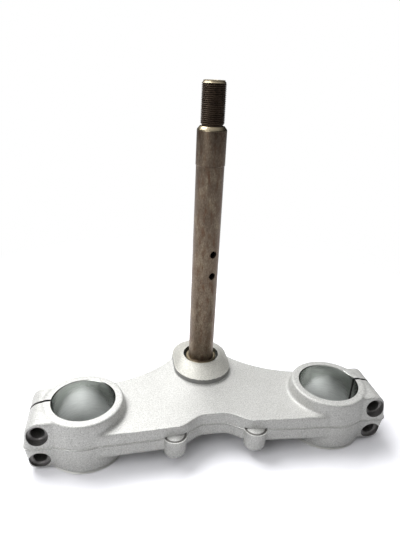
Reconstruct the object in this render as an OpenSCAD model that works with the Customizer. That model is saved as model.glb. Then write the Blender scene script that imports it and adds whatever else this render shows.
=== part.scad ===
// Lower triple clamp of a motorcycle with its steering stem.
// A one-piece aluminium casting carries two fork rings with split pinch lugs; a turned,
// hollow steel stem is pressed into its central boss. Z = 0 is the plane that the casting
// stands on, the Z axis is the steering axis and the fork rings lie towards -Y.

/* [Fork clamps] */
// Distance between the two fork axes
fork_spacing = 223; // [212:1:236]
// Distance of the fork axes in front of the steering axis
fork_offset = 58; // [52:0.5:63]
// Diameter of the fork bores
fork_bore_d = 53; // [48:0.5:55]
// Wall of a fork ring at the parting seam
ring_wall = 10.1; // [8:0.1:13]
// Height of a fork ring, which is the height of the clamp
ring_height = 50; // [44:1:58]
// Height of the turned lip under each ring
lip_height = 3; // [1.5:0.5:5]
// Radial step from the casting in to the lip
lip_step = 1.6; // [1:0.1:3]
// Radius of the hollow foot with which a ring stands on the plate
foot_r = 5; // [3:0.5:6]

/* [Pinch lugs] */
// Reach of a lug beyond its fork axis
lug_reach = 47.5; // [43:0.5:52]
// Lug face in front of the fork axis
lug_front = 29; // [26:0.5:33]
// Lug face behind the fork axis
lug_back = 23.5; // [20:0.5:28]
// Drop of the lug's top below the ring's top
lug_drop = 1; // [0.5:0.5:4]
// Rounding of a lug's upper outer end
lug_top_r = 12; // [6:0.5:14]
// Rounding of a lug's lower outer end
lug_low_r = 6; // [3:0.5:8]
// Width of the pinch slit
slit_w = 2.4; // [1:0.1:3]
// Place of the slit behind the fork axis
slit_y = 1.5; // [-2:0.5:4]
// Reach of the pinch bolt axes beyond the fork axis
bolt_reach = 35.4; // [33:0.1:38]
// Height between the two pinch bolts
bolt_pitch = 25.3; // [21:0.1:28]
// Diameter of the clearance hole in the front half of a lug
bolt_clear_d = 11; // [8:0.5:12]
// Diameter of the tapping hole in the back half of a lug
bolt_tap_d = 8.5; // [6:0.1:9.5]
// Diameter of the counterbore for the bolt's head
bolt_head_d = 17.4; // [15:0.1:18]
// Depth of the counterbore in the lug's face
bolt_head_depth = 5; // [3:0.5:10]

/* [Plate] */
// Height of the plate's top
plate_top = 38.8; // [34:0.2:42]
// Height of the plate's underside
plate_bottom = 15.5; // [11:0.5:20]
// Front edge of the plate in front of the steering axis, beside the notch
plate_front = 89.2; // [80:0.1:94]
// Depth of the central notch in the front edge
notch_depth = 12.3; // [4:0.1:16]
// Half width of the flat bottom of the notch
notch_flat = 8; // [4:0.5:14]
// Half width of the notch at its mouth
notch_mouth = 34; // [26:0.5:42]
// Radius of the hollow curve of the back edge
back_radius = 105; // [85:1:140]
// Thickness of the plate over the pockets of the underside
skin = 7; // [5:0.5:10]
// Thickness of the walls round the pockets
rim_wall = 8; // [6:0.5:12]

/* [Steering boss] */
// Half width of the steering boss at its rim
boss_half_w = 27.5; // [25:0.5:32]
// Half length of the steering boss, front to back
boss_half_l = 36; // [33:0.5:42]
// Height of the boss's rim over the plate
boss_rim_h = 5.7; // [3:0.1:9]
// Height of the seat round the stem over the tops of the rings
seat_over = 0.7; // [0.4:0.1:3]
// Width of the flat seat round the stem's recess
seat_w = 2.4; // [1.5:0.1:5]
// Diameter of the recess round the stem's root
recess_d = 33.8; // [32:0.1:38]
// Depth of that recess
recess_depth = 6; // [3:0.5:12]
// Diameter of the hub under the plate
hub_d = 50; // [44:1:58]

/* [Small bosses] */
// Distance of the two small front bosses from the middle
small_boss_x = 35.4; // [30:0.1:40]
// Diameter of a small boss
small_boss_d = 20.6; // [16:0.2:24]
// Reach of a small boss in front of the plate's edge
small_boss_reach = 7.1; // [5:0.1:9]
// Height of a small boss's top
small_boss_top = 30.2; // [28:0.1:34]
// Height of a small boss's underside
small_boss_bottom = 10.5; // [7:0.5:13]
// Diameter of the tapping hole from below
small_hole_d = 5; // [4:0.1:7]
// Depth of that hole
small_hole_depth = 12; // [8:0.5:16]

/* [Steering stem] */
// Height of the stem's top
stem_top = 304.8; // [270:0.2:330]
// Diameter of the upper bearing seat
bearing_seat_d = 25; // [24.4:0.1:27]
// Height of the shoulder on top of the upper bearing seat
shoulder_z = 270.2; // [240:0.1:285]
// Length of the upper bearing seat
bearing_seat_l = 31.2; // [15:0.1:40]
// Diameter of the shank between the bearing seats
shank_d = 24.2; // [22:0.1:25]
// Outer diameter of the top thread
thread_d = 20; // [18:0.5:22]
// Length of the relief under the thread
relief_l = 1.8; // [1.6:0.1:6]
// Diameter of the relief
relief_d = 17.4; // [15:0.1:18]
// Diameter of the pressed root in the yoke
root_d = 30; // [27:0.5:31]
// Drop of the root's end below the seat round it
root_drop = 1.6; // [0.5:0.1:4]
// Bore of the stem up to its threaded end
stem_bore_d = 13; // [8:0.5:15]
// Bore through the threaded end
top_bore_d = 6.6; // [5:0.1:7.8]
// Drop of the wide bore's end below the shoulder
bore_drop = 10.2; // [8:0.2:20]
// Diameter of the two cross holes
cross_hole_d = 6.6; // [4:0.1:8]
// Height of the upper cross hole
cross_hole_z = 161.3; // [120:0.5:200]
// Height between the cross holes
cross_hole_pitch = 21; // [14:0.5:30]
// Turn of the cross holes from the front towards the right, in degrees
cross_hole_turn = 24; // [0:1:60]

/* [Casting] */
// Height of the parting seam
parting_z = 28.3; // [24:0.1:30]
// Drop of the seam from the rings to the lugs
lug_seam_drop = 2; // [0:0.1:3]
// Draft of the walls above the seam, in degrees
draft_up = 7; // [3:0.5:8]
// Draft of the walls below the seam, in degrees
draft_down = 2.5; // [1:0.5:5]
// Draft of the lugs' walls on both sides of the seam, in degrees
draft_lug = 8; // [5:0.5:9]
// Rounding of the cast upper edges
edge_r = 2; // [1:0.25:3]
// Rounding of the cast lower edges
low_edge_r = 1; // [0.5:0.1:2]
// Reach of the raised seam over the walls
seam_reach = 0.7; // [0.3:0.1:1]
// Half height of the raised seam
seam_half = 0.7; // [0.4:0.1:1]

/* [Hidden] */
$fn = 96;
eps = 0.01;
over = 1;
arc_steps = 4;
fork_x = fork_spacing / 2;
fork_r = fork_bore_d / 2;
ring_r = fork_r + ring_wall;
lug_top = ring_height - lug_drop;
lug_bottom = lip_height + 0.2;
lug_corner_r = 6.5;
bolt_mid = (lug_top + lug_bottom) / 2 - 0.8;
boss_rim_z = plate_top + boss_rim_h;
seat_z = ring_height + seat_over;
seat_r = recess_d / 2 + seat_w;
root_top = seat_z - root_drop;
front_fall = 0.06;
boss_shift = boss_half_l - boss_half_w;
hub_r = boss_half_w + 2;
back_low_x = fork_x - 3.5;
back_low_y = ring_r - fork_offset - 1.5;
small_boss_y = -plate_front - small_boss_reach + small_boss_d / 2;
thread_bottom = shoulder_z + relief_l;
bore_end = shoulder_z - bore_drop;
foot_h = min(foot_r, ring_height - plate_top - edge_r - 0.5);

// Inset of a drafted wall at height z from the seam, where it reaches furthest out
function draft(z, up = draft_up, down = draft_down, seam = parting_z) =
    z > seam ? (z - seam) * tan(up) : (seam - z) * tan(down);

// Levels [z, inset] of a cast wall from its bottom to its top: rounded edge, draft, raised
// seam, draft, rounded edge
function levels(low, high, up = draft_up, down = draft_down, seam = parting_z) =
    let(r = edge_r, q = low_edge_r) concat(
        [for (i = [0:arc_steps]) let(a = 90 * i / arc_steps)
            [low + q - q * cos(a), draft(low + q, up, down, seam) + q - q * sin(a)]],
        [[seam - seam_half, draft(seam - seam_half, up, down, seam)],
         [seam, -seam_reach],
         [seam + seam_half, draft(seam + seam_half, up, down, seam)]],
        [for (i = [0:arc_steps]) let(a = 90 * i / arc_steps)
            [high - r + r * sin(a), draft(high - r, up, down, seam) + r - r * cos(a)]]);

// The same levels without the seam, for a cavity that opens downwards: it narrows as it rises
function cavity_levels(low, high, r) = concat(
    [[low, 0]],
    [for (i = [0:arc_steps]) let(a = 90 * i / arc_steps)
        [high - r + r * sin(a), (high - low) * tan(draft_down) + r - r * cos(a)]]);

function unit(v) = v / norm(v);
function left_of(v) = [v[1], -v[0]];

// Outward normal of a closed outline that runs anticlockwise, at point i
function normal(pts, i) = let(n = len(pts),
    a = unit(pts[i] - pts[(i + n - 1) % n]), b = unit(pts[(i + 1) % n] - pts[i]))
    unit(left_of(a) + left_of(b));

// Faces of a solid with m levels of n points each, with its two ends given as lists of faces
function wrap(n, m, low, high) = concat(low, high,
    [for (j = [0:m - 2]) for (i = [0:n - 1]) let(k = (i + 1) % n)
        [j * n + i, (j + 1) * n + i, (j + 1) * n + k, j * n + k]]);
function levelled(pts, levs) = let(n = len(pts), ns = [for (i = [0:n - 1]) normal(pts, i)])
    [for (l = levs) for (i = [0:n - 1]) let(p = pts[i] - ns[i] * l[1]) [p[0], p[1], l[0]]];

// Solid through a convex outline at every level, pulled in by the level's inset
module loft(pts, levs) {
    n = len(pts);
    m = len(levs);
    polyhedron(levelled(pts, levs), wrap(n, m, [[for (i = [0:n - 1]) i]],
        [[for (i = [n - 1:-1:0]) (m - 1) * n + i]]), convexity = 6);
}

// The same between a front and a back line with as many points each, which may be hollow
module strip_loft(front, back, levs) {
    h = len(front);
    n = 2 * h;
    m = len(levs);
    pts = concat(front, [for (i = [h - 1:-1:0]) back[i]]);
    low = [for (i = [0:h - 2]) [i, i + 1, n - 2 - i, n - 1 - i]];
    high = [for (f = low) [for (i = [3:-1:0]) f[i] + (m - 1) * n]];
    polyhedron(levelled(pts, levs), wrap(n, m, low, high), convexity = 6);
}

function arc(c, r, a0, a1, steps) = [for (i = [0:steps]) let(a = a0 + (a1 - a0) * i / steps)
    c + r * [cos(a), sin(a)]];
function both(pts) = concat([for (i = [len(pts) - 1:-1:0]) [-pts[i][0], pts[i][1]]], pts);

// Front edge of the plate: nearly straight, falling towards the rings, with the notch as a
// cosine blend between its flat bottom and its mouth
function notch(x) = x < notch_flat ? 1 :
    x > notch_mouth ? 0 : (1 + cos(180 * (x - notch_flat) / (notch_mouth - notch_flat))) / 2;
function front_y(x) = -plate_front - front_fall * max(0, x - notch_mouth) + notch_depth * notch(x);

// Back edge: a hollow arc whose lowest point lies at the ring, blended into the round end
// behind the steering boss
function hollow_y(x) = back_low_y + back_radius
    - sqrt(pow(back_radius, 2) - pow(back_low_x - max(x, hub_r - 3), 2));
function round_y(x) = boss_shift + (x < hub_r ? sqrt(pow(hub_r, 2) - pow(x, 2)) : 3 * (hub_r - x));
function blend(a, b, soft) = (a + b + sqrt(pow(a - b, 2) + pow(soft, 2))) / 2;
function back_y(x) = blend(hollow_y(x), round_y(x), 3);

// Right half of the plate's two edges at the seam. Both end inside the ring's wall.
front_end = fork_x - 11;
edge_front = [for (i = [0:16]) let(x = i < 11 ? 2 + 4 * i : 42 + (front_end - 42) * (i - 10) / 6)
    [x, front_y(x)]];
edge_back = [for (i = [0:16]) let(x = i < 7 ? hub_r * sin(3 + 12 * i) :
    hub_r * sin(75) + (back_low_x - hub_r * sin(75)) * (i - 6) / 10) [x, back_y(x)]];

// Rounded slot, longer along Y
function slot(hw, hl, steps) = concat(
    arc([0, hl - hw], hw, 4, 176, steps), arc([0, hw - hl], hw, 184, 356, steps));

// Casting

module plate() {
    strip_loft(both(edge_front), both(edge_back), levels(plate_bottom, plate_top));
}

// Wall profile of a fork ring, turned about the fork axis
module ring() {
    profile = concat([[fork_r - over, lip_height]],
        [for (l = levels(lip_height, ring_height)) [ring_r - l[1], l[0]]],
        [[fork_r - over, ring_height]]);
    rotate_extrude() polygon(profile);
    cylinder(r = ring_r - draft(lip_height) - lip_step, h = lip_height + over);
}

// Hollow foot of a ring on the plate, without the part that would overhang the plate's edges
module ring_feet() {
    wall = ring_r - draft(plate_top + foot_h);
    c = [wall + foot_h, plate_top + foot_h];
    foot = concat([[fork_r + 2, c[1]], [wall - 0.5, c[1]]], arc(c, foot_h, 200, 260, 3),
        [[c[0] + 0.5, plate_top - 0.4], [fork_r + 2, plate_top - 0.4]]);
    edge = draft(plate_top - edge_r) + edge_r;
    intersection() {
        sides() at_fork() rotate_extrude() polygon(foot);
        strip_loft(both(edge_front), both(edge_back),
            [[plate_top - over, edge + 0.6 - over], [plate_top + foot_h + over, edge + 0.6 + foot_h + over]]);
    }
}

// One pinch lug: rounded rectangle with the casting's draft, edges and seam, cut to a side
// profile that rounds its outer end
module lug() {
    x = [6, lug_reach];
    y = [-lug_front, lug_back];
    c = lug_corner_r;
    seam = parting_z - lug_seam_drop;
    outline = concat([[x[0], y[0]]], arc([x[1] - c, y[0] + c], c, -90, 0, 6),
        arc([x[1] - c, y[1] - c], c, 0, 90, 6), [[x[0], y[1]]]);
    top_x = lug_reach - draft(lug_top - lug_top_r, draft_lug, draft_lug, seam) - lug_top_r;
    low_x = lug_reach - draft(lug_bottom + lug_low_r, draft_lug, draft_lug, seam) - lug_low_r;
    side = concat([[x[0] - over, lug_bottom - over], [low_x - over, lug_bottom - over]],
        arc([low_x, lug_bottom + lug_low_r], lug_low_r + 0.02, -88, -8, 5),
        [[lug_reach + 2 * over, seam - over], [lug_reach + 2 * over, seam + over]],
        arc([top_x, lug_top - lug_top_r], lug_top_r + 0.02, 8, 88, 7),
        [[top_x - over, lug_top + over], [x[0] - over, lug_top + over]]);
    intersection() {
        loft(outline, levels(lug_bottom, lug_top, draft_lug, draft_lug, seam));
        translate([0, lug_back + over, 0]) rotate([90, 0, 0])
            linear_extrude(height = lug_front + lug_back + 2 * over) polygon(side);
    }
}

// Steering boss: slot-shaped wall on the plate and a crown that rises to the round seat
module boss() {
    n = 18;
    rim = slot(boss_half_w, boss_half_l, n);
    seat = slot(seat_r, seat_r, n);
    crown = [for (i = [0:6]) let(t = i / 6) [boss_rim_z + (seat_z - boss_rim_z) * (1.25 - 0.25 * t) * t, t]];
    bands = concat([[plate_top - 4, 0], [boss_rim_z - 0.8, 0]],
        [for (c = crown) [c[0], c[1] + (c[1] == 0 ? 0.05 : 0)]]);
    m = len(rim);
    points = [for (b = bands) for (i = [0:m - 1])
        let(p = rim[i] * (1 - b[1]) + seat[i] * b[1]) [p[0], p[1], b[0]]];
    polyhedron(points, wrap(m, len(bands), [[for (i = [0:m - 1]) i]],
        [[for (i = [m - 1:-1:0]) (len(bands) - 1) * m + i]]), convexity = 2);
}

module hub() {
    cylinder(r1 = hub_d / 2, r2 = hub_d / 2 + plate_bottom * tan(draft_down), h = plate_bottom + 3);
}

module small_boss() {
    translate([small_boss_x, small_boss_y, small_boss_bottom]) {
        cylinder(d1 = small_boss_d - 3, d2 = small_boss_d - 0.6, h = 1.5);
        translate([0, 0, 1.5])
            cylinder(d1 = small_boss_d - 0.6, d2 = small_boss_d, h = small_boss_top - small_boss_bottom - 2.3);
        translate([0, 0, small_boss_top - small_boss_bottom - 0.8])
            cylinder(d1 = small_boss_d, d2 = small_boss_d - 2, h = 0.8);
    }
}

// Pocket of the underside between the hub and a ring
module pocket() {
    inner = hub_d / 2 + rim_wall;
    outer = fork_x - ring_r - rim_wall + 2;
    steps = 6;
    low = [for (i = [0:steps]) let(x = inner + 4 + (outer - inner - 4) * i / steps) [x, front_y(x) + rim_wall]];
    high = [for (i = [0:steps]) let(x = inner + (outer - inner) * i / steps) [x, back_y(x) - rim_wall]];
    strip_loft(low, high, cavity_levels(plate_bottom - over, plate_top - skin, edge_r));
}

// Holes

module pinch_holes() {
    for (s = [-1, 1]) translate([bolt_reach, 0, bolt_mid + s * bolt_pitch / 2]) rotate([-90, 0, 0]) {
        translate([0, 0, -lug_front - over]) cylinder(d = bolt_clear_d, h = lug_front + over + slit_y);
        translate([0, 0, slit_y - eps]) cylinder(d = bolt_tap_d, h = lug_back + over);
        translate([0, 0, -lug_front - over]) cylinder(d = bolt_head_d, h = bolt_head_depth + over);
    }
}

module fork_cuts() {
    translate([0, 0, -over]) cylinder(r = fork_r, h = ring_height + 2 * over);
    translate([fork_r - over, slit_y - slit_w / 2, -over])
        cube([lug_reach, slit_w, ring_height + 2 * over]);
    pinch_holes();
}

module stem_bore() {
    translate([0, 0, -over]) cylinder(d = root_d, h = seat_z + 2 * over);
    translate([0, 0, seat_z - recess_depth]) cylinder(d = recess_d, h = recess_depth + over);
}

module small_hole() {
    translate([small_boss_x, small_boss_y, small_boss_bottom - over])
        cylinder(d = small_hole_d, h = small_hole_depth + over);
}

// Both sides of the casting
module sides() {
    children();
    mirror([1, 0, 0]) children();
}

module at_fork() {
    translate([fork_x, -fork_offset, 0]) children();
}

module lower_yoke() {
    color("silver") difference() {
        union() {
            plate();
            ring_feet();
            boss();
            hub();
            sides() {
                at_fork() {
                    ring();
                    lug();
                }
                small_boss();
            }
        }
        stem_bore();
        sides() {
            pocket();
            small_hole();
            at_fork() fork_cuts();
        }
    }
}

// Stem, turned: pressed root, shank, upper bearing seat, shoulder, relief and thread
module steering_stem() {
    lead = 1.2;
    top_lead = 2.2;
    shoulder_lead = [2.3, 2.8];
    seat_low = shoulder_z - bearing_seat_l;
    profile = [[0, 0], [root_d / 2 - 1, 0], [root_d / 2, 1], [root_d / 2, root_top - 1],
        [root_d / 2 - 1, root_top], [shank_d / 2 + 0.6, root_top], [shank_d / 2, root_top + 0.6],
        [shank_d / 2, seat_low - 0.4], [bearing_seat_d / 2, seat_low],
        [bearing_seat_d / 2, shoulder_z - shoulder_lead[1]],
        [bearing_seat_d / 2 - 0.4, shoulder_z - shoulder_lead[1] + 0.6],
        [bearing_seat_d / 2 - shoulder_lead[0], shoulder_z], [relief_d / 2, shoulder_z],
        [relief_d / 2, thread_bottom - lead], [thread_d / 2, thread_bottom],
        [thread_d / 2, stem_top - top_lead], [thread_d / 2 - top_lead, stem_top], [0, stem_top]];
    bore = [[0, -over], [stem_bore_d / 2, -over], [stem_bore_d / 2, bore_end],
        [top_bore_d / 2, bore_end + 2.2], [top_bore_d / 2, stem_top + over], [0, stem_top + over]];
    color("dimgray") difference() {
        rotate_extrude() polygon(profile);
        rotate_extrude() polygon(bore);
        for (z = [cross_hole_z, cross_hole_z - cross_hole_pitch])
            translate([0, 0, z]) rotate([90, 0, cross_hole_turn])
                cylinder(d = cross_hole_d, h = shank_d);
    }
}

lower_yoke();
steering_stem();
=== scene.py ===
"""Lower triple clamp with its steering stem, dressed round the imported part.

The yoke is a shot-blasted aluminium casting under thin silver paint, with bare turned bores.
The stem is a turned steel tube with its thread cut as a true helix. Lengths in this script
are millimetres until mesh_object() turns them to metres.
"""
import math

import bpy
import numpy as np
from mathutils import Matrix, Vector


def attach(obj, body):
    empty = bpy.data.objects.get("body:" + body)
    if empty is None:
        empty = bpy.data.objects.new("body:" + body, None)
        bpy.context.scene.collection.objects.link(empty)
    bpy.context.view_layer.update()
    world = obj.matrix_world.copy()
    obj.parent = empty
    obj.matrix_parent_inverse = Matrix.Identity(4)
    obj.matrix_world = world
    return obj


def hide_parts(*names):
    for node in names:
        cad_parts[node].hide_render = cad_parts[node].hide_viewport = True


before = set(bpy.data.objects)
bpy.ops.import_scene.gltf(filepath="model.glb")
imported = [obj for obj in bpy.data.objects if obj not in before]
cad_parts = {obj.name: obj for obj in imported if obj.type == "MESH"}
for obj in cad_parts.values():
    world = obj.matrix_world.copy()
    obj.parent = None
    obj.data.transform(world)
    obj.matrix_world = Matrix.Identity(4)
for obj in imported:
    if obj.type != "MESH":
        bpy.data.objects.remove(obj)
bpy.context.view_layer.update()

MM = 0.001

# Sizes of the casting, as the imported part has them. Points are (x, y) of the right half.
FORK = np.array([111.5, -58.0])
FORK_R, FORK_CHAMFER = 26.5, 1.7
RING_R, RING_TOP = 36.6, 50.0
LIP_R, LIP_TOP = 34.4, 3.0
PLATE_TOP, PLATE_LOW = 38.8, 15.5
SEAM_Z, LUG_SEAM_Z = 28.3, 26.3
DRAFT_UP, DRAFT_DOWN, DRAFT_LUG = (math.tan(math.radians(a)) for a in (7.0, 2.5, 8.0))
PLATE_FRONT, FRONT_FALL = 89.2, 0.06
NOTCH_DEPTH, NOTCH_FLAT, NOTCH_MOUTH = 12.3, 8.0, 34.0
BACK_R = 105.0
BACK_LOW = np.array([108.0, RING_R - 58.0 - 1.5])
HUB_R_PLATE = 29.5
SKIN, POCKET_WALL = 7.0, 8.0
BOSS_HALF_W, BOSS_HALF_L, BOSS_RIM_Z = 27.5, 36.0, 44.5
BOSS_SHIFT = BOSS_HALF_L - BOSS_HALF_W
SEAT_Z, SEAT_R = 50.7, 19.3
BOSS_FOOT_R = 1.0
RECESS_R, RECESS_DEPTH, RECESS_CHAMFER, ROOT_R = 16.9, 6.0, 0.9, 15.0
LUG_X, LUG_Y, LUG_Z, LUG_CORNER = (6.0, 47.5), (-29.0, 23.5), (3.2, 49.0), 5.8
LUG_TOP_R, LUG_LOW_R = 12.0, 6.0
LUG_END = 162.0
BOLT_X, BOLT_Z = 146.9, (12.65, 37.95)
BOLT_HEAD_R, BOLT_CLEAR_R, BOLT_TAP_R = 8.7, 5.5, 4.25
BOLT_HEAD_Y = -82.0
SLIT_Y, SLIT_W = -56.5, 2.4
SMALL_BOSS = np.array([35.4, -86.0])
SMALL_BOSS_R, SMALL_BOSS_TOP, SMALL_BOSS_LOW = 10.3, 30.2, 10.5
SMALL_HOLE_R = 2.5
DOME_SHARE = 0.78
EDGE_R, LOW_EDGE_R = 2.0, 1.0

# The skin is made of voxels this wide, then thinned to about this many triangles
VOXEL, QUICK_VOXEL = 0.7, 1.3
SKIN_TRIANGLES = 150000

# Section of the flash: height over the parting line and reach over the wall. Under the fin
# lies a low band that is painted darker: painted shade under the flash.
FLASH_REACH = 0.75
FIN_PROFILE = ((-1.05, -0.6), (-0.9, 0.14), (-0.25, 0.14),
               (-0.16, FLASH_REACH), (0.14, FLASH_REACH), (0.5, -0.6))
PAINTED_SHADE_BAND = (-0.86, -0.2)

# Stretches of the front flash that were ground to bare metal: middle in x, half length
GROUND_FLASH = ((17, 9), (49, 4), (-122, 6))

# Slots of the yoke's skins, in the order in which make_yoke() gets them
CAST, TURNED, BOLT_SEAT, BOSS_WALL, BOSS_FACE, SLIT, PAINTED_SHADE, LIP = range(8)

# Slack of the tests that tell one skin from the next, and how square to an axis a face is
NEAR, HAIR, SQUARE = 0.1, 0.01, 0.9


# Meshes

def mesh_object(name, points, faces):
    """Mesh object from points in millimetres and a list of faces."""
    mesh = bpy.data.meshes.new(name)
    mesh.from_pydata((np.asarray(points) * MM).tolist(), [], faces)
    mesh.validate()
    obj = bpy.data.objects.new(name, mesh)
    bpy.context.scene.collection.objects.link(obj)
    return obj


def grid_faces(rows, columns, first=0):
    """Quads of a grid that is closed along its columns, as an array of corner numbers."""
    r, c = np.meshgrid(np.arange(rows - 1), np.arange(columns), indexing="ij")
    a, b = r * columns + c, r * columns + (c + 1) % columns
    return (np.stack([a, b, b + columns, a + columns], -1).reshape(-1, 4) + first).tolist()


def outward(outline):
    """Unit normals of a closed outline that runs anticlockwise."""
    before = outline - np.roll(outline, 1, 0)
    after = np.roll(outline, -1, 0) - outline
    turn = (before / np.linalg.norm(before, axis=1)[:, None]
            + after / np.linalg.norm(after, axis=1)[:, None])
    normal = np.stack([turn[:, 1], -turn[:, 0]], 1)
    return normal / np.linalg.norm(normal, axis=1)[:, None]


def loft(name, outline, levels):
    """Closed solid: each level (z, inset) is the outline moved in along its own normals by
    inset, at height z. Its two end levels are capped."""
    n = len(outline)
    levels = np.asarray(levels, float)
    xy = outline[None] - outward(outline)[None] * levels[:, 1, None, None]
    z = np.broadcast_to(levels[:, 0, None, None], (len(levels), n, 1))
    points = np.concatenate([xy, z], 2).reshape(-1, 3)
    low = list(range(n - 1, -1, -1))
    high = [(len(levels) - 1) * n + i for i in range(n)]
    return mesh_object(name, points, grid_faces(len(levels), n) + [low, high])


def revolve(name, profile, centre=(0.0, 0.0), segments=160, axis="z", height=0.0):
    """Closed solid of revolution: the point (r, h) of the profile goes round the axis at
    angle t as (r cos t, r sin t, h), or (-r cos t, h, r sin t) about Y. The first and last
    points lie on the axis."""
    profile = np.asarray(profile, float)
    t = np.linspace(0, 2 * np.pi, segments, endpoint=False)
    body = profile[1:-1]
    ring = np.stack([body[:, :1] * np.cos(t), body[:, :1] * np.sin(t),
                     np.repeat(body[:, 1:2], segments, 1)], -1).reshape(-1, 3)
    points = np.concatenate([ring, [[0, 0, profile[0, 1]], [0, 0, profile[-1, 1]]]])
    if axis == "y":
        points = points[:, [0, 2, 1]] * [-1, 1, 1]
    points = points + [centre[0], centre[1], height]
    n, last = len(ring), len(body) - 1
    fan = [[n, (i + 1) % segments, i] for i in range(segments)]
    fan += [[n + 1, last * segments + i, last * segments + (i + 1) % segments]
            for i in range(segments)]
    return mesh_object(name, points, grid_faces(len(body), segments) + fan)


def arc(centre, radius, start, stop, steps):
    """Points on an arc, angles in degrees."""
    t = np.radians(np.linspace(start, stop, steps + 1))
    return np.stack([centre[0] + radius * np.cos(t), centre[1] + radius * np.sin(t)], 1)


def inset(z, up=DRAFT_UP, down=DRAFT_DOWN, seam=SEAM_Z):
    """How far a drafted wall stands in from the parting seam at height z."""
    return (z - seam) * up if z > seam else (seam - z) * down


def cast_levels(low, high, up=DRAFT_UP, down=DRAFT_DOWN, seam=SEAM_Z, steps=6):
    """Levels (z, inset) of a cast wall: quarter-circle edge, draft, seam, draft, edge."""
    a = np.radians(np.linspace(0, 90, steps + 1))
    q, r = LOW_EDGE_R, EDGE_R
    low_inset, high_inset = inset(low + q, up, down, seam), inset(high - r, up, down, seam)
    bottom = [(low + q - q * math.cos(t), low_inset + q - q * math.sin(t)) for t in a]
    top = [(high - r + r * math.sin(t), high_inset + r - r * math.cos(t)) for t in a]
    return bottom + [(seam, 0.0)] + top


def apply_modifiers(obj):
    """Bake the object's modifiers into its mesh."""
    graph = bpy.context.evaluated_depsgraph_get()
    mesh = bpy.data.meshes.new_from_object(obj.evaluated_get(graph))
    old = obj.data
    obj.modifiers.clear()
    obj.data = mesh
    bpy.data.meshes.remove(old)


def combine(obj, others, operation):
    """Boolean of the object with each of the others, which are used up."""
    for other in others:
        m = obj.modifiers.new(operation.lower(), "BOOLEAN")
        m.operation, m.object, m.solver = operation, other, "MANIFOLD"
    apply_modifiers(obj)
    for other in others:
        mesh = other.data
        bpy.data.objects.remove(other)
        bpy.data.meshes.remove(mesh)


def mirrored(obj, name):
    """Copy of the object mirrored in X = 0, with its faces turned to point outwards again."""
    mesh = obj.data.copy()
    points = np.empty(len(mesh.vertices) * 3, np.float32)
    mesh.vertices.foreach_get("co", points)
    points.reshape(-1, 3)[:, 0] *= -1
    mesh.vertices.foreach_set("co", points)
    mesh.flip_normals()
    twin = bpy.data.objects.new(name, mesh)
    bpy.context.scene.collection.objects.link(twin)
    return twin


def vertices(mesh):
    """Vertex positions in millimetres, as an array."""
    points = np.empty(len(mesh.vertices) * 3, np.float32)
    mesh.vertices.foreach_get("co", points)
    return points.reshape(-1, 3).astype(float) / MM


def set_vertices(mesh, points):
    """Moves the vertices to points in millimetres."""
    mesh.vertices.foreach_set("co", (points * MM).astype(np.float32).ravel())
    mesh.update()


def relax(mesh, weight, rounds):
    """Each round moves every vertex by weight times the way to the mean of its neighbours."""
    points = vertices(mesh)
    edges = np.empty(len(mesh.edges) * 2, np.int32)
    mesh.edges.foreach_get("vertices", edges)
    a, b = edges.reshape(-1, 2).T
    n = len(points)
    ends, starts = np.concatenate([a, b]), np.concatenate([b, a])
    count = np.bincount(ends, minlength=n)
    for _ in range(rounds):
        total = np.stack([np.bincount(ends, points[starts, k], n) for k in range(3)], 1)
        points += weight[:, None] * (total / count[:, None] - points)
    set_vertices(mesh, points)


# The casting

def notch(x):
    """1 on the notch's flat, 0 past its mouth, half a cosine wave between."""
    t = np.clip((np.abs(x) - NOTCH_FLAT) / (NOTCH_MOUTH - NOTCH_FLAT), 0, 1)
    return (1 + np.cos(np.pi * t)) / 2


def front_edge(x):
    """Front edge of the plate at the seam: a line that falls towards the rings, plus the
    notch's depth times notch(x)."""
    fall = FRONT_FALL * np.maximum(0, np.abs(x) - NOTCH_MOUTH)
    return -PLATE_FRONT - fall + NOTCH_DEPTH * notch(x)


def back_edge(x):
    """Back edge: the smooth maximum (a + b + sqrt((a - b)^2 + k^2)) / 2 of a hollow arc and
    of the round end behind the boss, which runs on as a steep line."""
    blend, steep = 3.0, 3
    x = np.abs(x)
    across = BACK_LOW[0] - np.maximum(x, HUB_R_PLATE - 3)
    hollow = BACK_LOW[1] + BACK_R - np.sqrt(BACK_R ** 2 - across ** 2)
    rounded = BOSS_SHIFT + np.where(
        x < HUB_R_PLATE, np.sqrt(np.maximum(HUB_R_PLATE ** 2 - x ** 2, 0)), steep * (HUB_R_PLATE - x))
    return (hollow + rounded + np.sqrt((hollow - rounded) ** 2 + blend ** 2)) / 2


def plate_outline():
    """Outline of the plate at the seam: front_edge(x) rightwards, then back_edge(x) back, its
    round end sampled by angle. Both ends lie inside the rings."""
    front_end, round_end = FORK[0] - 11, 75
    front_x = np.linspace(-front_end, front_end, 161)
    angle = np.radians(np.linspace(round_end, -round_end, 41))
    side_x = np.linspace(BACK_LOW[0], HUB_R_PLATE * math.sin(math.radians(round_end)), 50)[:-1]
    back_x = np.concatenate([side_x, HUB_R_PLATE * np.sin(angle), -side_x[::-1]])
    return np.concatenate([np.stack([front_x, front_edge(front_x)], 1),
                           np.stack([back_x, back_edge(back_x)], 1)])


def plate():
    """The plate, solid as yet: its outline lofted through the drafted levels."""
    return loft("plate", plate_outline(), cast_levels(PLATE_LOW, PLATE_TOP))


def ring():
    """A fork ring before it is bored: radius RING_R less the inset of each drafted level."""
    levels = cast_levels(LIP_TOP, RING_TOP)
    profile = [(0, LIP_TOP)] + [(RING_R - i, z) for z, i in levels] + [(0, RING_TOP)]
    return revolve("ring", profile, FORK)


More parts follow.
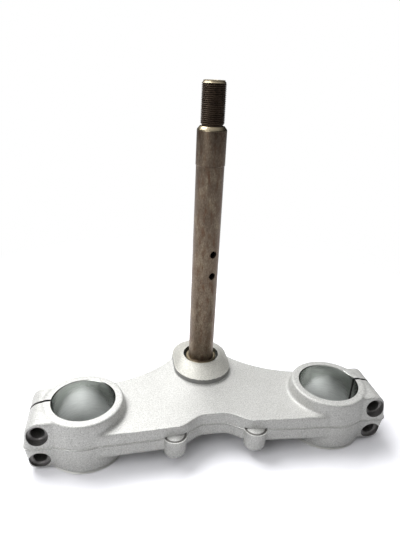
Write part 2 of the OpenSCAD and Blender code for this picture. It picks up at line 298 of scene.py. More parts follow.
def lug_outline(step=12.0):
    """Outline of the right lug at its seam: an oblong open towards the ring, with two rounded
    corners. Points on its straights lie about step apart."""
    (x0, x1), (y0, y1), c = LUG_X, LUG_Y, LUG_CORNER
    along = np.linspace(x0, x1 - c, max(2, int((x1 - c - x0) / step)) + 1)[:-1]
    across = np.linspace(y0 + c, y1 - c, max(2, int((y1 - y0 - 2 * c) / step)) + 1)[1:-1]
    return np.concatenate([
        np.stack([along, np.full(len(along), y0)], 1), arc((x1 - c, y0 + c), c, -90, 0, 10),
        np.stack([np.full(len(across), x1), across], 1), arc((x1 - c, y1 - c), c, 0, 90, 10),
        np.stack([along[::-1], np.full(len(along), y1)], 1)]) + FORK


def lug():
    """Drafted block cut to a side profile whose outer end turns through two quarter arcs,
    a wide one at the top and a tighter one at the bottom, just outside the block's ends."""
    clear = 0.02
    block = loft("lug", lug_outline(), cast_levels(*LUG_Z, DRAFT_LUG, DRAFT_LUG, LUG_SEAM_Z))
    (low, high), reach = LUG_Z, LUG_X[1] + FORK[0]
    top_z, low_z = high - LUG_TOP_R, low + LUG_LOW_R
    top_x = reach - inset(top_z, DRAFT_LUG, DRAFT_LUG, LUG_SEAM_Z) - LUG_TOP_R
    low_x = reach - inset(low_z, DRAFT_LUG, DRAFT_LUG, LUG_SEAM_Z) - LUG_LOW_R
    side = np.concatenate([[[FORK[0], low - 1], [low_x - 1, low - 1]],
                           arc((low_x, low_z), LUG_LOW_R + clear, -88, -8, 8),
                           [[reach + 2, LUG_SEAM_Z - 1], [reach + 2, LUG_SEAM_Z + 1]],
                           arc((top_x, top_z), LUG_TOP_R + clear, 8, 88, 14),
                           [[top_x - 1, high + 1], [FORK[0], high + 1]]])
    n = len(side)
    front, back = FORK[1] + LUG_Y[0] - 2, FORK[1] + LUG_Y[1] + 2
    points = [[x, y, z] for y in (front, back) for x, z in side]
    ends = [list(range(n)), list(range(2 * n - 1, n - 1, -1))]
    walls = [[i, n + i, n + (i + 1) % n, (i + 1) % n] for i in range(n)]
    combine(block, [mesh_object("lug_side", points, ends + walls)], "INTERSECT")
    return block


def small_boss():
    """Hanging boss with a rim of flash, a groove behind it and a low dome in the middle. At
    the share f of the radius the dome lies fall f^2 under its crown."""
    top, low, r, fall = SMALL_BOSS_TOP, SMALL_BOSS_LOW, SMALL_BOSS_R, 2.6
    rim_z = top - 1.7
    wall = [(r - 2.4, low), (r - 1.2, low + 0.5), (r - 0.7, low + 1.8), (r - 0.1, rim_z - 0.8)]
    rim = [(r + 0.5, rim_z - 0.5), (r + 0.5, rim_z), (r - 0.3, rim_z + 0.1)]
    groove = [(r - 0.9, rim_z - 0.9)]
    dome = [(r * f, top - fall * f ** 2) for f in np.linspace(DOME_SHARE, 0.1, 8)]
    profile = [(0, low)] + wall + rim + groove + dome + [(0, top)]
    return revolve("small_boss", profile, SMALL_BOSS, 80)


def pocket():
    """Drafted hollow of the underside between the hub and a ring: the plate's two edges moved
    in by the wall, up to the skin, with a rounded roof."""
    wall, inner, outer = POCKET_WALL, 33.0, FORK[0] - RING_R - 6.0
    low_x, high_x = np.linspace(inner + 4, outer, 30), np.linspace(outer, inner, 30)
    outline = np.concatenate([np.stack([low_x, front_edge(low_x) + wall], 1),
                              np.stack([high_x, back_edge(high_x) - wall], 1)])
    roof, r = PLATE_TOP - SKIN, 2.0
    slope = (roof - PLATE_LOW) * DRAFT_DOWN
    rounded = [(roof - r + r * math.sin(t), slope + r - r * math.cos(t))
               for t in np.radians(np.linspace(0, 90, 6))]
    return loft("pocket", outline, [(PLATE_LOW - 1, 0.0)] + rounded)


def boss():
    """Slot-shaped steering boss: a foot fillet, an upright wall and a crown. A row (z, pull, t)
    is the slot drawn in by pull, and mixed with the round seat by the share t, point by point.
    The crown rises by the share 1.25 t - 0.25 t^2 of its height."""
    steps, foot_r, edge = 48, BOSS_FOOT_R, 0.6
    rim = np.concatenate([arc((0, BOSS_SHIFT), BOSS_HALF_W, 2, 178, steps),
                          arc((0, -BOSS_SHIFT), BOSS_HALF_W, 182, 358, steps)])
    seat = np.concatenate([arc((0, 0), SEAT_R, 2, 178, steps), arc((0, 0), SEAT_R, 182, 358, steps)])
    away = rim / np.linalg.norm(rim, axis=1)[:, None]
    rows = [(PLATE_TOP - 2.8, -1.2, 0.0), (PLATE_TOP - 0.3, -1.2, 0.0)]
    for t in np.radians(np.linspace(0, 90, 6)):
        rows.append((PLATE_TOP + foot_r - foot_r * math.cos(t), -foot_r + foot_r * math.sin(t), 0.0))
    rows += [(BOSS_RIM_Z - 0.5, 0.0, 0.0), (BOSS_RIM_Z - 0.1, 0.15, 0.0),
             (BOSS_RIM_Z + 0.15, edge, 0.02)]
    for t in np.linspace(0.12, 1, 9):
        rise = (SEAT_Z - BOSS_RIM_Z) * (1.25 * t - 0.25 * t * t)
        rows.append((BOSS_RIM_Z + rise, edge * (1 - t), t))
    points = []
    for z, pull, t in rows:
        xy = (rim - away * pull) * (1 - t) + seat * t
        points.append(np.column_stack([xy, np.full(len(xy), z)]))
    n = len(rim)
    low, high = list(range(n - 1, -1, -1)), [(len(rows) - 1) * n + i for i in range(n)]
    return mesh_object("boss", np.concatenate(points), grid_faces(len(rows), n) + [low, high])


def hub():
    """Round post under the boss, down to the floor, with the draft of the lower half."""
    r, foot = 25.0, 0.7
    return revolve("hub", [(0, 0), (r - foot, 0), (r, foot), (r + PLATE_LOW * DRAFT_DOWN, PLATE_LOW),
                           (r + 0.7, 20), (0, 20)])


def seam_height(x, y):
    """Height of the parting line: it drops to the lugs over a smooth step 3 s^2 - 2 s^3, dips
    as a bell curve by the right end of the notch and wanders in two slow sine waves."""
    step = np.clip((np.abs(x) - 124) / 14, 0, 1)
    drop = (SEAM_Z - LUG_SEAM_Z) * step * step * (3 - 2 * step)
    dip = 1.0 * np.exp(-((x - 18) / 13) ** 2)
    return SEAM_Z - drop - dip + 0.15 * np.sin(x / 17.0 + 0.6) + 0.1 * np.sin(y / 9.0)


def fin(name, outline):
    """Flash squeezed out between the two halves of the mould: FIN_PROFILE carried round an
    outline at the parting line's height. Its reach is times 0.8 plus 0.2 of a product of two
    sine waves in x and y, as flash that was trimmed by hand varies."""
    normal = outward(outline)
    x, y = outline.T
    uneven = 0.8 + 0.2 * np.sin(x / 2.9 + y / 3.7) * np.sin(x / 7.1 - y / 5.3 + 1.0)
    points = []
    for rise, reach in FIN_PROFILE:
        out = reach * uneven if reach == FLASH_REACH else np.full(len(x), reach)
        points.append(np.column_stack([outline + normal * out[:, None], seam_height(x, y) + rise]))
    n, rows = len(outline), len(FIN_PROFILE)
    low, high = list(range(n - 1, -1, -1)), [(rows - 1) * n + i for i in range(n)]
    return mesh_object(name, np.concatenate(points), grid_faces(rows, n) + [low, high])


def flash():
    """Fins round the plate, the rings and the lugs. A core is cut out of the plate's fin, so
    that it doesn't fill the pockets."""
    depth, tall = 4.0, 6
    thin = fin("plate_fin", plate_outline())
    core = loft("core", plate_outline(), [(SEAM_Z - tall, depth), (SEAM_Z + tall, depth)])
    combine(thin, [core], "DIFFERENCE")
    fins = [thin]
    circle = arc((0, 0), RING_R, 0, 360, 180)[:-1]
    for side in (-1, 1):
        fins.append(fin("ring_fin", circle + FORK * [side, 1]))
        outline = lug_outline(1.5) * [side, 1]
        fins.append(fin("lug_fin", outline if side > 0 else outline[::-1]))
    return fins


def soften(mesh, voxel):
    """Fillets: the skin where a ring meets the plate is relaxed for long, the rest briefly. A
    vertex at the distance d from the ring's foot, level or upright, has the weight
    exp(-(d / width)^2) for each. Rounds go down with the square of the voxel."""
    foot_r, foot_width, level_width = RING_R - 1.1, 2.6, 2.2
    foot_rounds, skin_rounds = 26, 5
    points = vertices(mesh)
    side = np.abs(points[:, 0])
    radius = np.hypot(side - FORK[0], points[:, 1] - FORK[1])
    near_top = np.exp(-((points[:, 2] - PLATE_TOP) / level_width) ** 2)
    near_low = np.exp(-((points[:, 2] - PLATE_LOW) / level_width) ** 2)
    foot = np.exp(-((radius - foot_r) / foot_width) ** 2)
    strong = np.clip(foot * np.maximum(near_top, near_low), 0, 1)
    scale = (VOXEL / voxel) ** 2
    relax(mesh, 0.5 * strong, int(foot_rounds * scale))
    relax(mesh, np.full(len(points), 0.5), int(skin_rounds * scale))


def machine(yoke):
    """The cuts made after casting: fork bores, bolt holes, slits and the stem's bore."""
    low, high, edge = -1, RING_TOP + 1, 0.7
    bore = [(0, low), (FORK_R + FORK_CHAMFER, low), (FORK_R, edge), (FORK_R, RING_TOP - edge),
            (FORK_R + FORK_CHAMFER, high), (0, high)]
    bolt = [(0, -90), (BOLT_HEAD_R + 0.25, -90), (BOLT_HEAD_R, -86.8), (BOLT_HEAD_R, BOLT_HEAD_Y),
            (BOLT_CLEAR_R + 0.8, BOLT_HEAD_Y), (BOLT_CLEAR_R, BOLT_HEAD_Y + 0.8), (BOLT_CLEAR_R, SLIT_Y),
            (BOLT_TAP_R, SLIT_Y), (BOLT_TAP_R, -30), (0, -30)]
    tapping = [(0, 9), (SMALL_HOLE_R, 9), (SMALL_HOLE_R, 22), (0, 23.5)]
    slit_front, slit_back = SLIT_Y - SLIT_W / 2, SLIT_Y + SLIT_W / 2
    cuts = []
    for side in (-1, 1):
        x = side * FORK[0]
        cuts.append(revolve("bore", bore, (x, FORK[1]), 224))
        left, right = sorted((x + side * (FORK_R - 2), side * LUG_END))
        slab = np.array([[left, slit_front], [right, slit_front], [right, slit_back], [left, slit_back]])
        cuts.append(loft("slit", slab, [(low, 0), (high, 0)]))
        for height in BOLT_Z:
            cuts.append(revolve("bolt_hole", bolt, (side * BOLT_X, 0), 72, "y", height))
        cuts.append(revolve("tapping_hole", tapping, (side * SMALL_BOSS[0], SMALL_BOSS[1]), 40))
    floor_z, open_z = SEAT_Z - RECESS_DEPTH, SEAT_Z + 0.5
    stem = [(0, low), (ROOT_R, low), (ROOT_R, floor_z), (RECESS_R, floor_z), (RECESS_R, SEAT_Z - 0.4),
            (RECESS_R + RECESS_CHAMFER, open_z), (0, open_z)]
    cuts.append(revolve("stem_hole", stem, (0, 0), 160))
    combine(yoke, cuts, "DIFFERENCE")


def face_arrays(mesh):
    """Centres in millimetres, normals and count of the mesh's faces."""
    n = len(mesh.polygons)
    centre, normal = np.empty(n * 3, np.float32), np.empty(n * 3, np.float32)
    mesh.polygons.foreach_get("center", centre)
    mesh.polygons.foreach_get("normal", normal)
    return centre.reshape(-1, 3) / MM, normal.reshape(-1, 3), n


def finish_faces(mesh, materials, index, sharp_degrees):
    """Gives each face its material, smooth shading and sharp edges past an angle."""
    mesh.materials.clear()
    for material in materials:
        mesh.materials.append(material)
    mesh.polygons.foreach_set("material_index", index.astype(np.int32))
    mesh.polygons.foreach_set("use_smooth", np.ones(len(mesh.polygons), bool))
    mesh.set_sharp_from_angle(angle=math.radians(sharp_degrees))
    mesh.update()


def cast_yoke():
    """The casting and its machining. The plain solids are joined, their skin is made anew of
    voxels and relaxed, and then come the crisp pieces and the cuts."""
    voxel = VOXEL
    yoke = plate()
    parts = [hub()]
    for make in (ring, lug):
        right = make()
        parts += [right, mirrored(right, right.name + "_left")]
    combine(yoke, parts, "UNION")
    right = pocket()
    combine(yoke, [right, mirrored(right, "pocket_left")], "DIFFERENCE")
    m = yoke.modifiers.new("skin", "REMESH")
    m.mode, m.voxel_size, m.use_smooth_shade = "VOXEL", voxel * MM, True
    apply_modifiers(yoke)
    soften(yoke.data, voxel)
    m = yoke.modifiers.new("thin_out", "DECIMATE")
    m.ratio = min(1.0, SKIN_TRIANGLES / max(1, 2 * len(yoke.data.polygons)))
    apply_modifiers(yoke)
    lip = [(0, 0), (LIP_R, 0), (LIP_R, 0.5), (LIP_R - 2.2, 2.2), (LIP_R - 2.2, 6), (0, 6)]
    lips = [revolve("lip", lip, (side * FORK[0], FORK[1]), 200) for side in (-1, 1)]
    right = small_boss()
    crisp = flash() + lips + [boss(), right, mirrored(right, "small_boss_left")]
    combine(yoke, crisp, "UNION")
    machine(yoke)
    return yoke


def yoke_skins(mesh):
    """Number of the skin on each face, told by where the face lies and where it points. A
    face is level, or upright along Y, where that part of its normal is over SQUARE."""
    centre, normal, n = face_arrays(mesh)
    x, y, z = centre.T
    side = np.abs(x)
    along_y, along_z = np.abs(normal[:, 1]), np.abs(normal[:, 2])
    index = np.full(n, CAST)

    fork_r = np.hypot(side - FORK[0], y - FORK[1])
    index[(fork_r < FORK_R + FORK_CHAMFER + NEAR) & (along_z < SQUARE)] = TURNED
    index[(fork_r < LIP_R + 2 * NEAR) & (z < LIP_TOP - NEAR) & (fork_r > FORK_R)] = LIP
    in_slit = (np.abs(y - SLIT_Y) < SLIT_W / 2 + NEAR / 2) & (side > FORK[0] + FORK_R - 1)
    index[in_slit & (along_y > SQUARE)] = SLIT

    in_recess = (np.hypot(x, y) < RECESS_R + RECESS_CHAMFER + NEAR / 2) & (z > 1)
    index[in_recess & ((along_z < SQUARE) | (z < SEAT_Z - RECESS_DEPTH + 1))] = TURNED
    for height in BOLT_Z:
        in_hole = (np.hypot(side - BOLT_X, z - height) < BOLT_HEAD_R + HAIR) & (y < SLIT_Y + 5)
        index[in_hole & ((along_y < 0.3) | (y > BOLT_HEAD_Y - 1))] = BOLT_SEAT

    slot_r = np.hypot(x, np.maximum(np.abs(y) - BOSS_SHIFT, 0))
    on_boss = ((slot_r < BOSS_HALF_W + NEAR) & (z > PLATE_TOP + BOSS_FOOT_R + 0.25)
               & (index == CAST))
    crown_z = BOSS_RIM_Z - 0.3
    index[on_boss & (z < crown_z)] = BOSS_WALL
    index[on_boss & (z >= crown_z)] = BOSS_FACE

    # Painted shade: on the front, a band just under the parting line gets the dark seam colour, and so
    # does the groove round each small boss's dome.
    over = z - seam_height(x, y)
    front = (index == CAST) & (y < 0)
    index[front & (over > PAINTED_SHADE_BAND[0]) & (over < PAINTED_SHADE_BAND[1])] = PAINTED_SHADE
    share = np.hypot(side - SMALL_BOSS[0], y - SMALL_BOSS[1]) / SMALL_BOSS_R
    in_groove = ((share > DOME_SHARE) & (share < 0.97)
                 & (z > SMALL_BOSS_TOP - 3) & (z < SMALL_BOSS_TOP + 0.5))
    index[in_groove & (y < front_edge(x) + 2 * NEAR)] = PAINTED_SHADE
    for middle, half in GROUND_FLASH:
        index[front & (np.abs(over) < 0.15) & (np.abs(x - middle) < half)] = TURNED
    return index


def make_yoke(skins):
    """The finished yoke with its skins, in the order of the slots' names at the top."""
    yoke = cast_yoke()
    finish_faces(yoke.data, skins, yoke_skins(yoke.data), 32)
    yoke.name = "cast_yoke"
    return yoke


# The stem

STEM_TOP, SHOULDER_Z, SEAT_LOW_Z, THREAD_LOW_Z, ROOT_TOP = 304.8, 270.2, 239.0, 272.0, 49.1
SHANK_R, BEARING_R, THREAD_R, RELIEF_R, STEM_BORE_R, TOP_BORE_R = 12.1, 12.5, 10.0, 8.7, 6.5, 3.3
THREAD_PITCH, THREAD_DEPTH, THREAD_CHAMFER = 1.5, 0.92, 2.2
SHOULDER_CHAMFER = 2.3
CROSS_R, CROSS_TURN, CROSS_Z = 3.3, math.radians(24), (161.3, 140.3)

# Slots of the stem's skins, in the order in which make_stem() gets them
SHANK, THREAD, BRIGHT = range(3)


def thread_radius(z, t):
    """Radius of the helix at height z and angle t: a triangle wave of the thread's depth in
    the phase z / pitch - t / (2 pi), its crests cut flat by an eighth of the pitch."""
    phase = (z / THREAD_PITCH - t / (2 * np.pi)) % 1.0
    ridge = np.clip(np.abs(2 * phase - 1) * 1.25, 0, 1)
    return THREAD_R - THREAD_DEPTH * (1 - ridge)


def stem_body(columns=128):
    """Revolved tube of rows (r, z). Rows go up the outside, over the top and down the bore.
    The thread's rows are a twelfth of the pitch apart and follow thread_radius(z, t), kept
    inside a 45 degree chamfer at the top and a short run-in at the bottom."""
    t = np.linspace(0, 2 * np.pi, columns, endpoint=False)
    root = [(ROOT_R - 1, 0), (ROOT_R, 1), (ROOT_R, ROOT_TOP - 0.9), (ROOT_R - 0.9, ROOT_TOP),
            (SHANK_R + 0.5, ROOT_TOP), (SHANK_R, ROOT_TOP + 0.6)]
    shank = [(SHANK_R, z) for z in np.linspace(60, 230, 18)]
    seat = [(SHANK_R, SEAT_LOW_Z - 0.4), (BEARING_R, SEAT_LOW_Z), (BEARING_R, SHOULDER_Z - 3.4),
            (BEARING_R - 0.1, SHOULDER_Z - 2.8), (BEARING_R - 0.4, SHOULDER_Z - 2.2),
            (BEARING_R - 2.0, SHOULDER_Z - 0.3), (BEARING_R - SHOULDER_CHAMFER, SHOULDER_Z)]
    relief = [(RELIEF_R + 0.3, SHOULDER_Z), (RELIEF_R, SHOULDER_Z + 0.3),
              (RELIEF_R, THREAD_LOW_Z - 0.7)]
    bore = [(THREAD_R - THREAD_CHAMFER, STEM_TOP), (TOP_BORE_R + 0.5, STEM_TOP),
            (TOP_BORE_R, STEM_TOP - 0.5), (TOP_BORE_R, 262.2), (STEM_BORE_R, 260.0),
            (STEM_BORE_R, 150), (STEM_BORE_R, 0.6), (STEM_BORE_R + 0.6, 0)]
    heights = np.arange(THREAD_LOW_Z - 0.6, STEM_TOP - 0.05, THREAD_PITCH / 12)[:, None]
    top_chamfer = THREAD_R - THREAD_CHAMFER + (STEM_TOP - heights)
    run_in = RELIEF_R + 0.1 + 1.2 * (heights - heights[0])
    cut = np.minimum(thread_radius(heights, t[None]), np.minimum(top_chamfer, run_in))
    outside, inside = (np.repeat(np.array(rows)[:, :, None], columns, 2)
                       for rows in (root + shank + seat + relief, bore))
    radius = np.concatenate([outside[:, 0], np.maximum(cut, RELIEF_R), inside[:, 0]])
    z = np.concatenate([outside[:, 1], np.repeat(heights, columns, 1), inside[:, 1]])
    points = np.stack([radius * np.cos(t), radius * np.sin(t), z], -1).reshape(-1, 3)
    last = (len(radius) - 1) * columns
    c = np.arange(columns)
    after = (c + 1) % columns
    foot = np.stack([last + c, last + after, after, c], 1).tolist()
    return mesh_object("steering_stem_steel", points, grid_faces(len(radius), columns) + foot)


def cross_drill(height):
    """Drill for a cross hole with its countersink, turned from +Z to point at the front, at
    CROSS_TURN from -Y towards +X."""
    sink_r = CROSS_R + 0.9
    profile = [(0, 0), (CROSS_R, 0), (CROSS_R, SHANK_R - 0.35), (sink_r, SHANK_R + 0.9),
               (sink_r, 16), (0, 16)]
    drill = revolve("drill", profile, (0, 0), 48)
    across, up, along = vertices(drill.data).T
    sine, cosine = math.sin(CROSS_TURN), math.cos(CROSS_TURN)
    turned = [sine * along + cosine * across, -cosine * along + sine * across, up + height]
    set_vertices(drill.data, np.stack(turned, 1))
    return drill


def make_stem(skins):
    """The finished stem. Its thread, its chamfers and its foot have skins of their own."""
    stem = stem_body()
    combine(stem, [cross_drill(height) for height in CROSS_Z], "DIFFERENCE")
    centre, _, n = face_arrays(stem.data)
    x, y, z = centre.T
    radial = np.hypot(x, y)
    index = np.full(n, SHANK)
    index[(z > SHOULDER_Z + 0.1) & (radial > TOP_BORE_R + 0.3)] = THREAD
    on_shoulder = (z > SHOULDER_Z - 3.3) & (z < SHOULDER_Z + 0.1) & (radial > RELIEF_R + 0.4)
    index[on_shoulder | (z > STEM_TOP - THREAD_CHAMFER + 0.1)] = BRIGHT
    index[(z < ROOT_TOP + 0.05) & (radial > SHANK_R + 0.4)] = BRIGHT
    finish_faces(stem.data, skins, index, 28)
    return stem


# Materials

def linear(code):
    """sRGB hex to linear RGBA."""
    rgb = np.array([int(code[i:i + 2], 16) for i in (1, 3, 5)]) / 255
    lin = np.where(rgb <= 0.04045, rgb / 12.92, ((rgb + 0.055) / 1.055) ** 2.4)
    return (*lin.tolist(), 1.0)


def add(tree, kind, values=(), links=(), stops=(), **settings):
    """Adds a node of this kind, sets its properties and inputs, links its inputs, and gives a
    colour ramp its stops of (position, hex)."""
    node = tree.nodes.new("ShaderNode" + kind)
    for name, value in settings.items():
        setattr(node, name, value)
    for socket, value in dict(values).items():
        node.inputs[socket].default_value = value
    for socket, source in dict(links).items():
        tree.links.new(source, node.inputs[socket])
    if stops:
        elements = node.color_ramp.elements
        while len(elements) < len(stops):
            elements.new(0.5)
        for element, (position, code) in zip(elements, stops):
            element.position, element.color = position, linear(code)
    return node


def grain(tree, where, size_mm, detail=3.0, rough=0.6, stretch=(1, 1, 1)):
    """Noise whose grains are about size_mm wide, on coordinates in metres."""
    mapping = add(tree, "Mapping", {"Scale": stretch}, {"Vector": where})
    noise = add(tree, "TexNoise", {"Scale": 1 / (size_mm * MM), "Detail": detail, "Roughness": rough},
                {"Vector": mapping.outputs["Vector"]})
    return noise.outputs["Fac"]


def lathe_direction(tree, where, x, y):
    """Direction of the turning marks: round the axis at (x, y) or at its mirror image (-x, y),
    as the vector (y - Y, X - x sign(X), 0) of length 1."""
    axes = add(tree, "SeparateXYZ", links={"Vector": where})
    sign = add(tree, "Math", links={0: axes.outputs["X"]}, operation="SIGN").outputs[0]
    centre = add(tree, "Math", {1: x * MM}, {0: sign}, operation="MULTIPLY").outputs[0]
    across = add(tree, "Math", links={0: axes.outputs["X"], 1: centre}, operation="SUBTRACT").outputs[0]
    along = add(tree, "Math", {0: y * MM}, {1: axes.outputs["Y"]}, operation="SUBTRACT").outputs[0]
    around = add(tree, "CombineXYZ", links={"X": along, "Y": across}).outputs[0]
    return add(tree, "VectorMath", links={0: around}, operation="NORMALIZE").outputs[0]


def metal(name, stops, metallic, rough, grain_mm, bump_mm, stretch=(1, 1, 1), stain=None,
          cloud=0.5, turned_at=None):
    """A metal skin: a colour ramp over a fine noise mixed with one nine times as broad by the
    share cloud, roughness between two values and bump from the fine noise. A stain is a
    second colour where a noise of its own is high. turned_at is the lathe's axis, round which
    the gloss is drawn out."""
    material = bpy.data.materials.new(name)
    material.use_nodes = True
    tree = material.node_tree
    tree.nodes.clear()
    where = add(tree, "TexCoord").outputs["Object"]
    fine = grain(tree, where, grain_mm, 4.0, 0.65, stretch)
    broad = grain(tree, where, grain_mm * 9, 4.0, 0.6, stretch)
    both = add(tree, "Mix", {"Factor": cloud}, {"A": fine, "B": broad})
    colour = add(tree, "ValToRGB", links={"Fac": both.outputs["Result"]}, stops=stops).outputs["Color"]
    if stain:
        spots = grain(tree, where, stain["size_mm"], 6.0, 0.65, stain["stretch"])
        mask = add(tree, "MapRange", {"From Min": stain["from"], "From Max": stain["to"]},
                   {"Value": spots})
        # inputs 6 and 7 and output 2 are the Mix node's colours
        colour = add(tree, "Mix", {7: linear(stain["colour"])},
                     {0: mask.outputs["Result"], 6: colour}, data_type="RGBA").outputs[2]
    spread = add(tree, "MapRange", {"From Min": 0.3, "From Max": 0.7,
                                    "To Min": rough[0], "To Max": rough[1]}, {"Value": broad})
    bump = add(tree, "Bump", {"Strength": 1.0, "Distance": bump_mm * MM}, {"Height": fine})
    shader = add(tree, "BsdfPrincipled", {"Metallic": metallic},
                 {"Base Color": colour, "Roughness": spread.outputs["Result"],
                  "Normal": bump.outputs["Normal"]})
    if turned_at is not None:
        shader.inputs["Anisotropic"].default_value = 0.75
        tree.links.new(lathe_direction(tree, where, *turned_at), shader.inputs["Tangent"])
    add(tree, "OutputMaterial", links={"Surface": shader.outputs["BSDF"]})
    return material


# Casting shot-blasted and sprayed with thin silver paint: even, pale and finely speckled,
# with no mirror. Blast pits are 0.2 to 0.4 mm wide and are drawn 0.95 mm wide so as to show.
BLAST_GRAIN = 0.95
cast_silver = metal("shot_blasted_cast_aluminium_silver_paint",
                    [(0.3, "#A6A6A2"), (0.5, "#CCCCC9"), (0.7, "#E8E8E5")],
                    0.3, (0.48, 0.58), BLAST_GRAIN, 0.2, cloud=0.08)

# Bores turned on a lathe and left bare: a soft mirror drawn out round the bore. Its greenish
# grey is a painted reflection in the base colour. Feed marks are finer than a pixel, so the grain is 1.2
# mm.
turned_bore = metal("turned_aluminium_bore",
                    [(0.35, "#ACAFAB"), (0.65, "#CACDC8")],
                    1.0, (0.13, 0.2), 1.2, 0.02, (1, 1, 8), turned_at=FORK)

# Counterbores that held bolt heads: the same metal, painted dark as painted shade inside the recess
bolt_seat = metal("counterbored_aluminium_painted_shade",
                  [(0.35, "#6E6C6A"), (0.65, "#8B8988")], 0.6, (0.35, 0.5), 0.8, 0.03)

# Upright side of the boss: turned, so it is calmer than the blasted skin, and painted darker as painted
# shade under the crown
boss_wall = metal("turned_boss_side_painted_shade",
                  [(0.35, "#848483"), (0.65, "#969694")], 0.5, (0.4, 0.5), 0.8, 0.04)

# Crown of the boss: blasted like the casting, a little warmer in tone, and painted darker than the
# casting as painted shade of its sloping sides
boss_face = metal("blasted_boss_face_painted_shade",
                  [(0.3, "#A2A19A"), (0.5, "#C3C2BB"), (0.7, "#DCDBD3")],
                  0.3, (0.48, 0.58), BLAST_GRAIN, 0.18, cloud=0.08)

# Stem turned from steel tube and gone dull: brown grey, with soft rusty stains of about 4 mm
# that run down the tube
stem_steel = metal("turned_stem_steel_stained",
                   [(0.3, "#4B4035"), (0.5, "#6D6052"), (0.7, "#968974")],
                   0.85, (0.34, 0.5), 0.9, 0.03, (1, 1, 0.5),
                   {"size_mm": 4, "stretch": (1, 1, 0.35), "from": 0.5, "to": 0.68, "colour": "#5C4636"})

# Cut thread, coloured the darkest steel, with thin glints on the crests
thread_steel = metal("cut_thread_steel_dark",
                     [(0.3, "#3A3028"), (0.7, "#5A4D40")], 0.85, (0.35, 0.5), 0.8, 0.02)

# Ground chamfers, rubbed bright by bearings and nuts, and painted paler as a painted highlight: yellowish
# glints at the stem's edges
bright_steel = metal("ground_steel_edge_painted_highlight",
                     [(0.3, "#8E836F"), (0.7, "#B0A48A")], 1.0, (0.3, 0.42), 0.8, 0.01)

# Faces of the saw cut: rough, and painted dark as painted shade in the narrow gap, so the slit reads as a
# dark line
sawn_slit = metal("sawn_aluminium_painted_shade",
                  [(0.35, "#2C2A28"), (0.65, "#403E3B")], 0.6, (0.5, 0.65), 0.8, 0.05)

# Painted shade under the flash and in the groove round the small bosses' domes: a thin grey line
seam_painted_shade = metal("painted_shade_under_casting_flash",
                   [(0.35, "#5E5D5A"), (0.65, "#7E7D7A")], 0.2, (0.5, 0.65), 0.8, 0.05)

# Lips under the rings, faced on the lathe: the palest metal, nearly white, a painted reflection of the
# bright floor
painted_reflection_lip = metal("faced_aluminium_lip_painted_reflection",
                  [(0.35, "#F4F4F0"), (0.65, "#FCFCF8")], 0.1, (0.3, 0.38), 0.8, 0.02)

yoke = make_yoke([cast_silver, turned_bore, bolt_seat, boss_wall, boss_face,
                  sawn_slit, seam_painted_shade, painted_reflection_lip])
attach(yoke, "root")
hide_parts("lower_yoke")
stem = make_stem([stem_steel, thread_steel, bright_steel])
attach(stem, "root")
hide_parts("steering_stem")


# Studio

# The photo's floor is lit well past white, so that its shadows come out pale and only the
# strip right under the part is dark. Paper of the tones below plus a second coat of this
# grey does that for rays from the camera and from gloss; the light it throws on the part
# comes from the darker tone alone.
PAPER_GAIN = "#949499"
PAPER_THROWN, PAPER_SEEN = "#BCBCBC", "#F0F0F3"
PAPER_FADE = (0.24, 0.5)


def studio_floor():
    """White paper floor under the object. It takes the lamps' light and the object's shadow
    near the object. For the camera it fades to plain white between two distances from the
    steering axis, in metres, as cut-out studio shots do."""
    half = 6000.0
    points = np.array([[-half, -half, 0], [half, -half, 0], [half, half, 0], [-half, half, 0]])
    floor = mesh_object("studio_floor", points, [[0, 1, 2, 3]])
    material = bpy.data.materials.new("white_paper_floor")
    material.use_nodes = True
    tree = material.node_tree
    tree.nodes.clear()
    path = add(tree, "LightPath")
    seen = path.outputs["Is Camera Ray"]
    clear = add(tree, "Math", links={0: seen, 1: path.outputs["Is Glossy Ray"]},
                operation="MAXIMUM").outputs[0]
    where = add(tree, "TexCoord").outputs["Object"]
    away = add(tree, "VectorMath", links={0: where}, operation="LENGTH")
    far = add(tree, "MapRange", {"From Min": PAPER_FADE[0], "From Max": PAPER_FADE[1]},
              {"Value": away.outputs["Value"]}, interpolation_type="SMOOTHSTEP")
    fade = add(tree, "Math", links={0: far.outputs["Result"], 1: seen}, operation="MULTIPLY")
    tone = add(tree, "ValToRGB", links={"Fac": clear}, stops=[(0.0, PAPER_THROWN), (1.0, PAPER_SEEN)])
    paper = add(tree, "BsdfDiffuse", links={"Color": tone.outputs["Color"]})
    gain = add(tree, "ValToRGB", links={"Fac": clear}, stops=[(0.0, "#000000"), (1.0, PAPER_GAIN)])
    coat = add(tree, "BsdfDiffuse", links={"Color": gain.outputs["Color"]})
    lit = add(tree, "AddShader", links={0: paper.outputs[0], 1: coat.outputs[0]})
    white = add(tree, "Emission", {"Color": (1, 1, 1, 1), "Strength": 1.0})
    both = add(tree, "MixShader", links={0: fade.outputs[0], 1: lit.outputs[0], 2: white.outputs[0]})
    add(tree, "OutputMaterial", links={"Surface": both.outputs[0]})
    floor.data.materials.append(material)


def area_lamp(name, place, aim, size, watts):
    """Soft white lamp of a width and a length at a place, aimed at a point, all in metres."""
    lamp = bpy.data.lights.new(name, "AREA")
    lamp.shape, lamp.size, lamp.size_y, lamp.energy = "RECTANGLE", size[0], size[1], watts
    obj = bpy.data.objects.new(name, lamp)
    bpy.context.scene.collection.objects.link(obj)
    obj.location = place
    obj.rotation_euler = (Vector(aim) - Vector(place)).to_track_quat("-Z", "Y").to_euler()


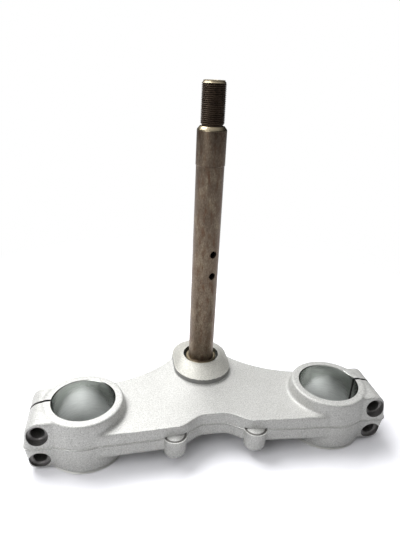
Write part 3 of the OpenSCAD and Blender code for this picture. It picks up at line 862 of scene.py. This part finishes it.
def world_light():
    """Room light. The camera sees white. All else sees a room that is dim up to about 30
    degrees over the horizon and bright overhead, and brighter at the left than at the right."""
    horizon_to_top = [(0.0, "#141414"), (0.5, "#181818"), (0.74, "#262626"), (0.86, "#A4A4A4"),
                      (1.0, "#FFFFFF")]
    left, right = 1.3, 0.7
    world = bpy.data.worlds.new("studio_air")
    bpy.context.scene.world = world
    world.use_nodes = True
    tree = world.node_tree
    tree.nodes.clear()
    path = add(tree, "LightPath")
    where = add(tree, "TexCoord").outputs["Generated"]
    axes = add(tree, "SeparateXYZ", links={"Vector": where})
    height = add(tree, "MapRange", {"From Min": -1.0, "From Max": 1.0}, {"Value": axes.outputs["Z"]})
    sky = add(tree, "ValToRGB", links={"Fac": height.outputs[0]}, stops=horizon_to_top)
    windows = add(tree, "MapRange", {"From Min": -1.0, "From Max": 1.0, "To Min": left, "To Max": right},
                  {"Value": axes.outputs["X"]})
    room = add(tree, "Background", links={"Color": sky.outputs["Color"], "Strength": windows.outputs[0]})
    white = add(tree, "Background", {"Color": (1, 1, 1, 1), "Strength": 1.0})
    mix = add(tree, "MixShader", links={0: path.outputs["Is Camera Ray"], 1: room.outputs[0],
                                        2: white.outputs[0]})
    add(tree, "OutputWorld", links={"Surface": mix.outputs[0]})


def photo_camera():
    """Camera solved from the photograph: place in millimetres, bearing b, dip d and roll in
    degrees, and focal length in pixels of a frame 550 pixels high. It looks along (sin b cos d,
    cos b cos d, -sin d), and the roll turns its right and up round that."""
    place = Vector((-75.355, -384.352, 311.924)) * MM
    bearing, dip, roll = (math.radians(a) for a in (10.459, 24.085, 2.649))
    focal_px, frame_px, sensor = 460.055, 550, 36
    ahead = Vector((math.sin(bearing) * math.cos(dip), math.cos(bearing) * math.cos(dip), -math.sin(dip)))
    level = Vector((math.cos(bearing), -math.sin(bearing), 0))
    over = level.cross(ahead)
    right = level * math.cos(roll) + over * math.sin(roll)
    up = over * math.cos(roll) - level * math.sin(roll)
    data = bpy.data.cameras.new("photo_camera")
    data.sensor_width = sensor
    data.lens = focal_px * sensor / frame_px
    camera = bpy.data.objects.new("photo_camera", data)
    bpy.context.scene.collection.objects.link(camera)
    turn = Matrix((right, up, -ahead)).transposed().to_4x4()
    camera.matrix_world = Matrix.Translation(place) @ turn
    bpy.context.scene.camera = camera


studio_floor()
world_light()
area_lamp("overhead_left", (-0.3, 0.37, 0.93), (0, -0.03, 0.03), (0.95, 0.5), 11.9)
area_lamp("front_left", (-0.45, -0.36, 0.44), (0, -0.05, 0.03), (0.35, 0.35), 1.0)
photo_camera()
bpy.context.scene.view_settings.view_transform = "Standard"
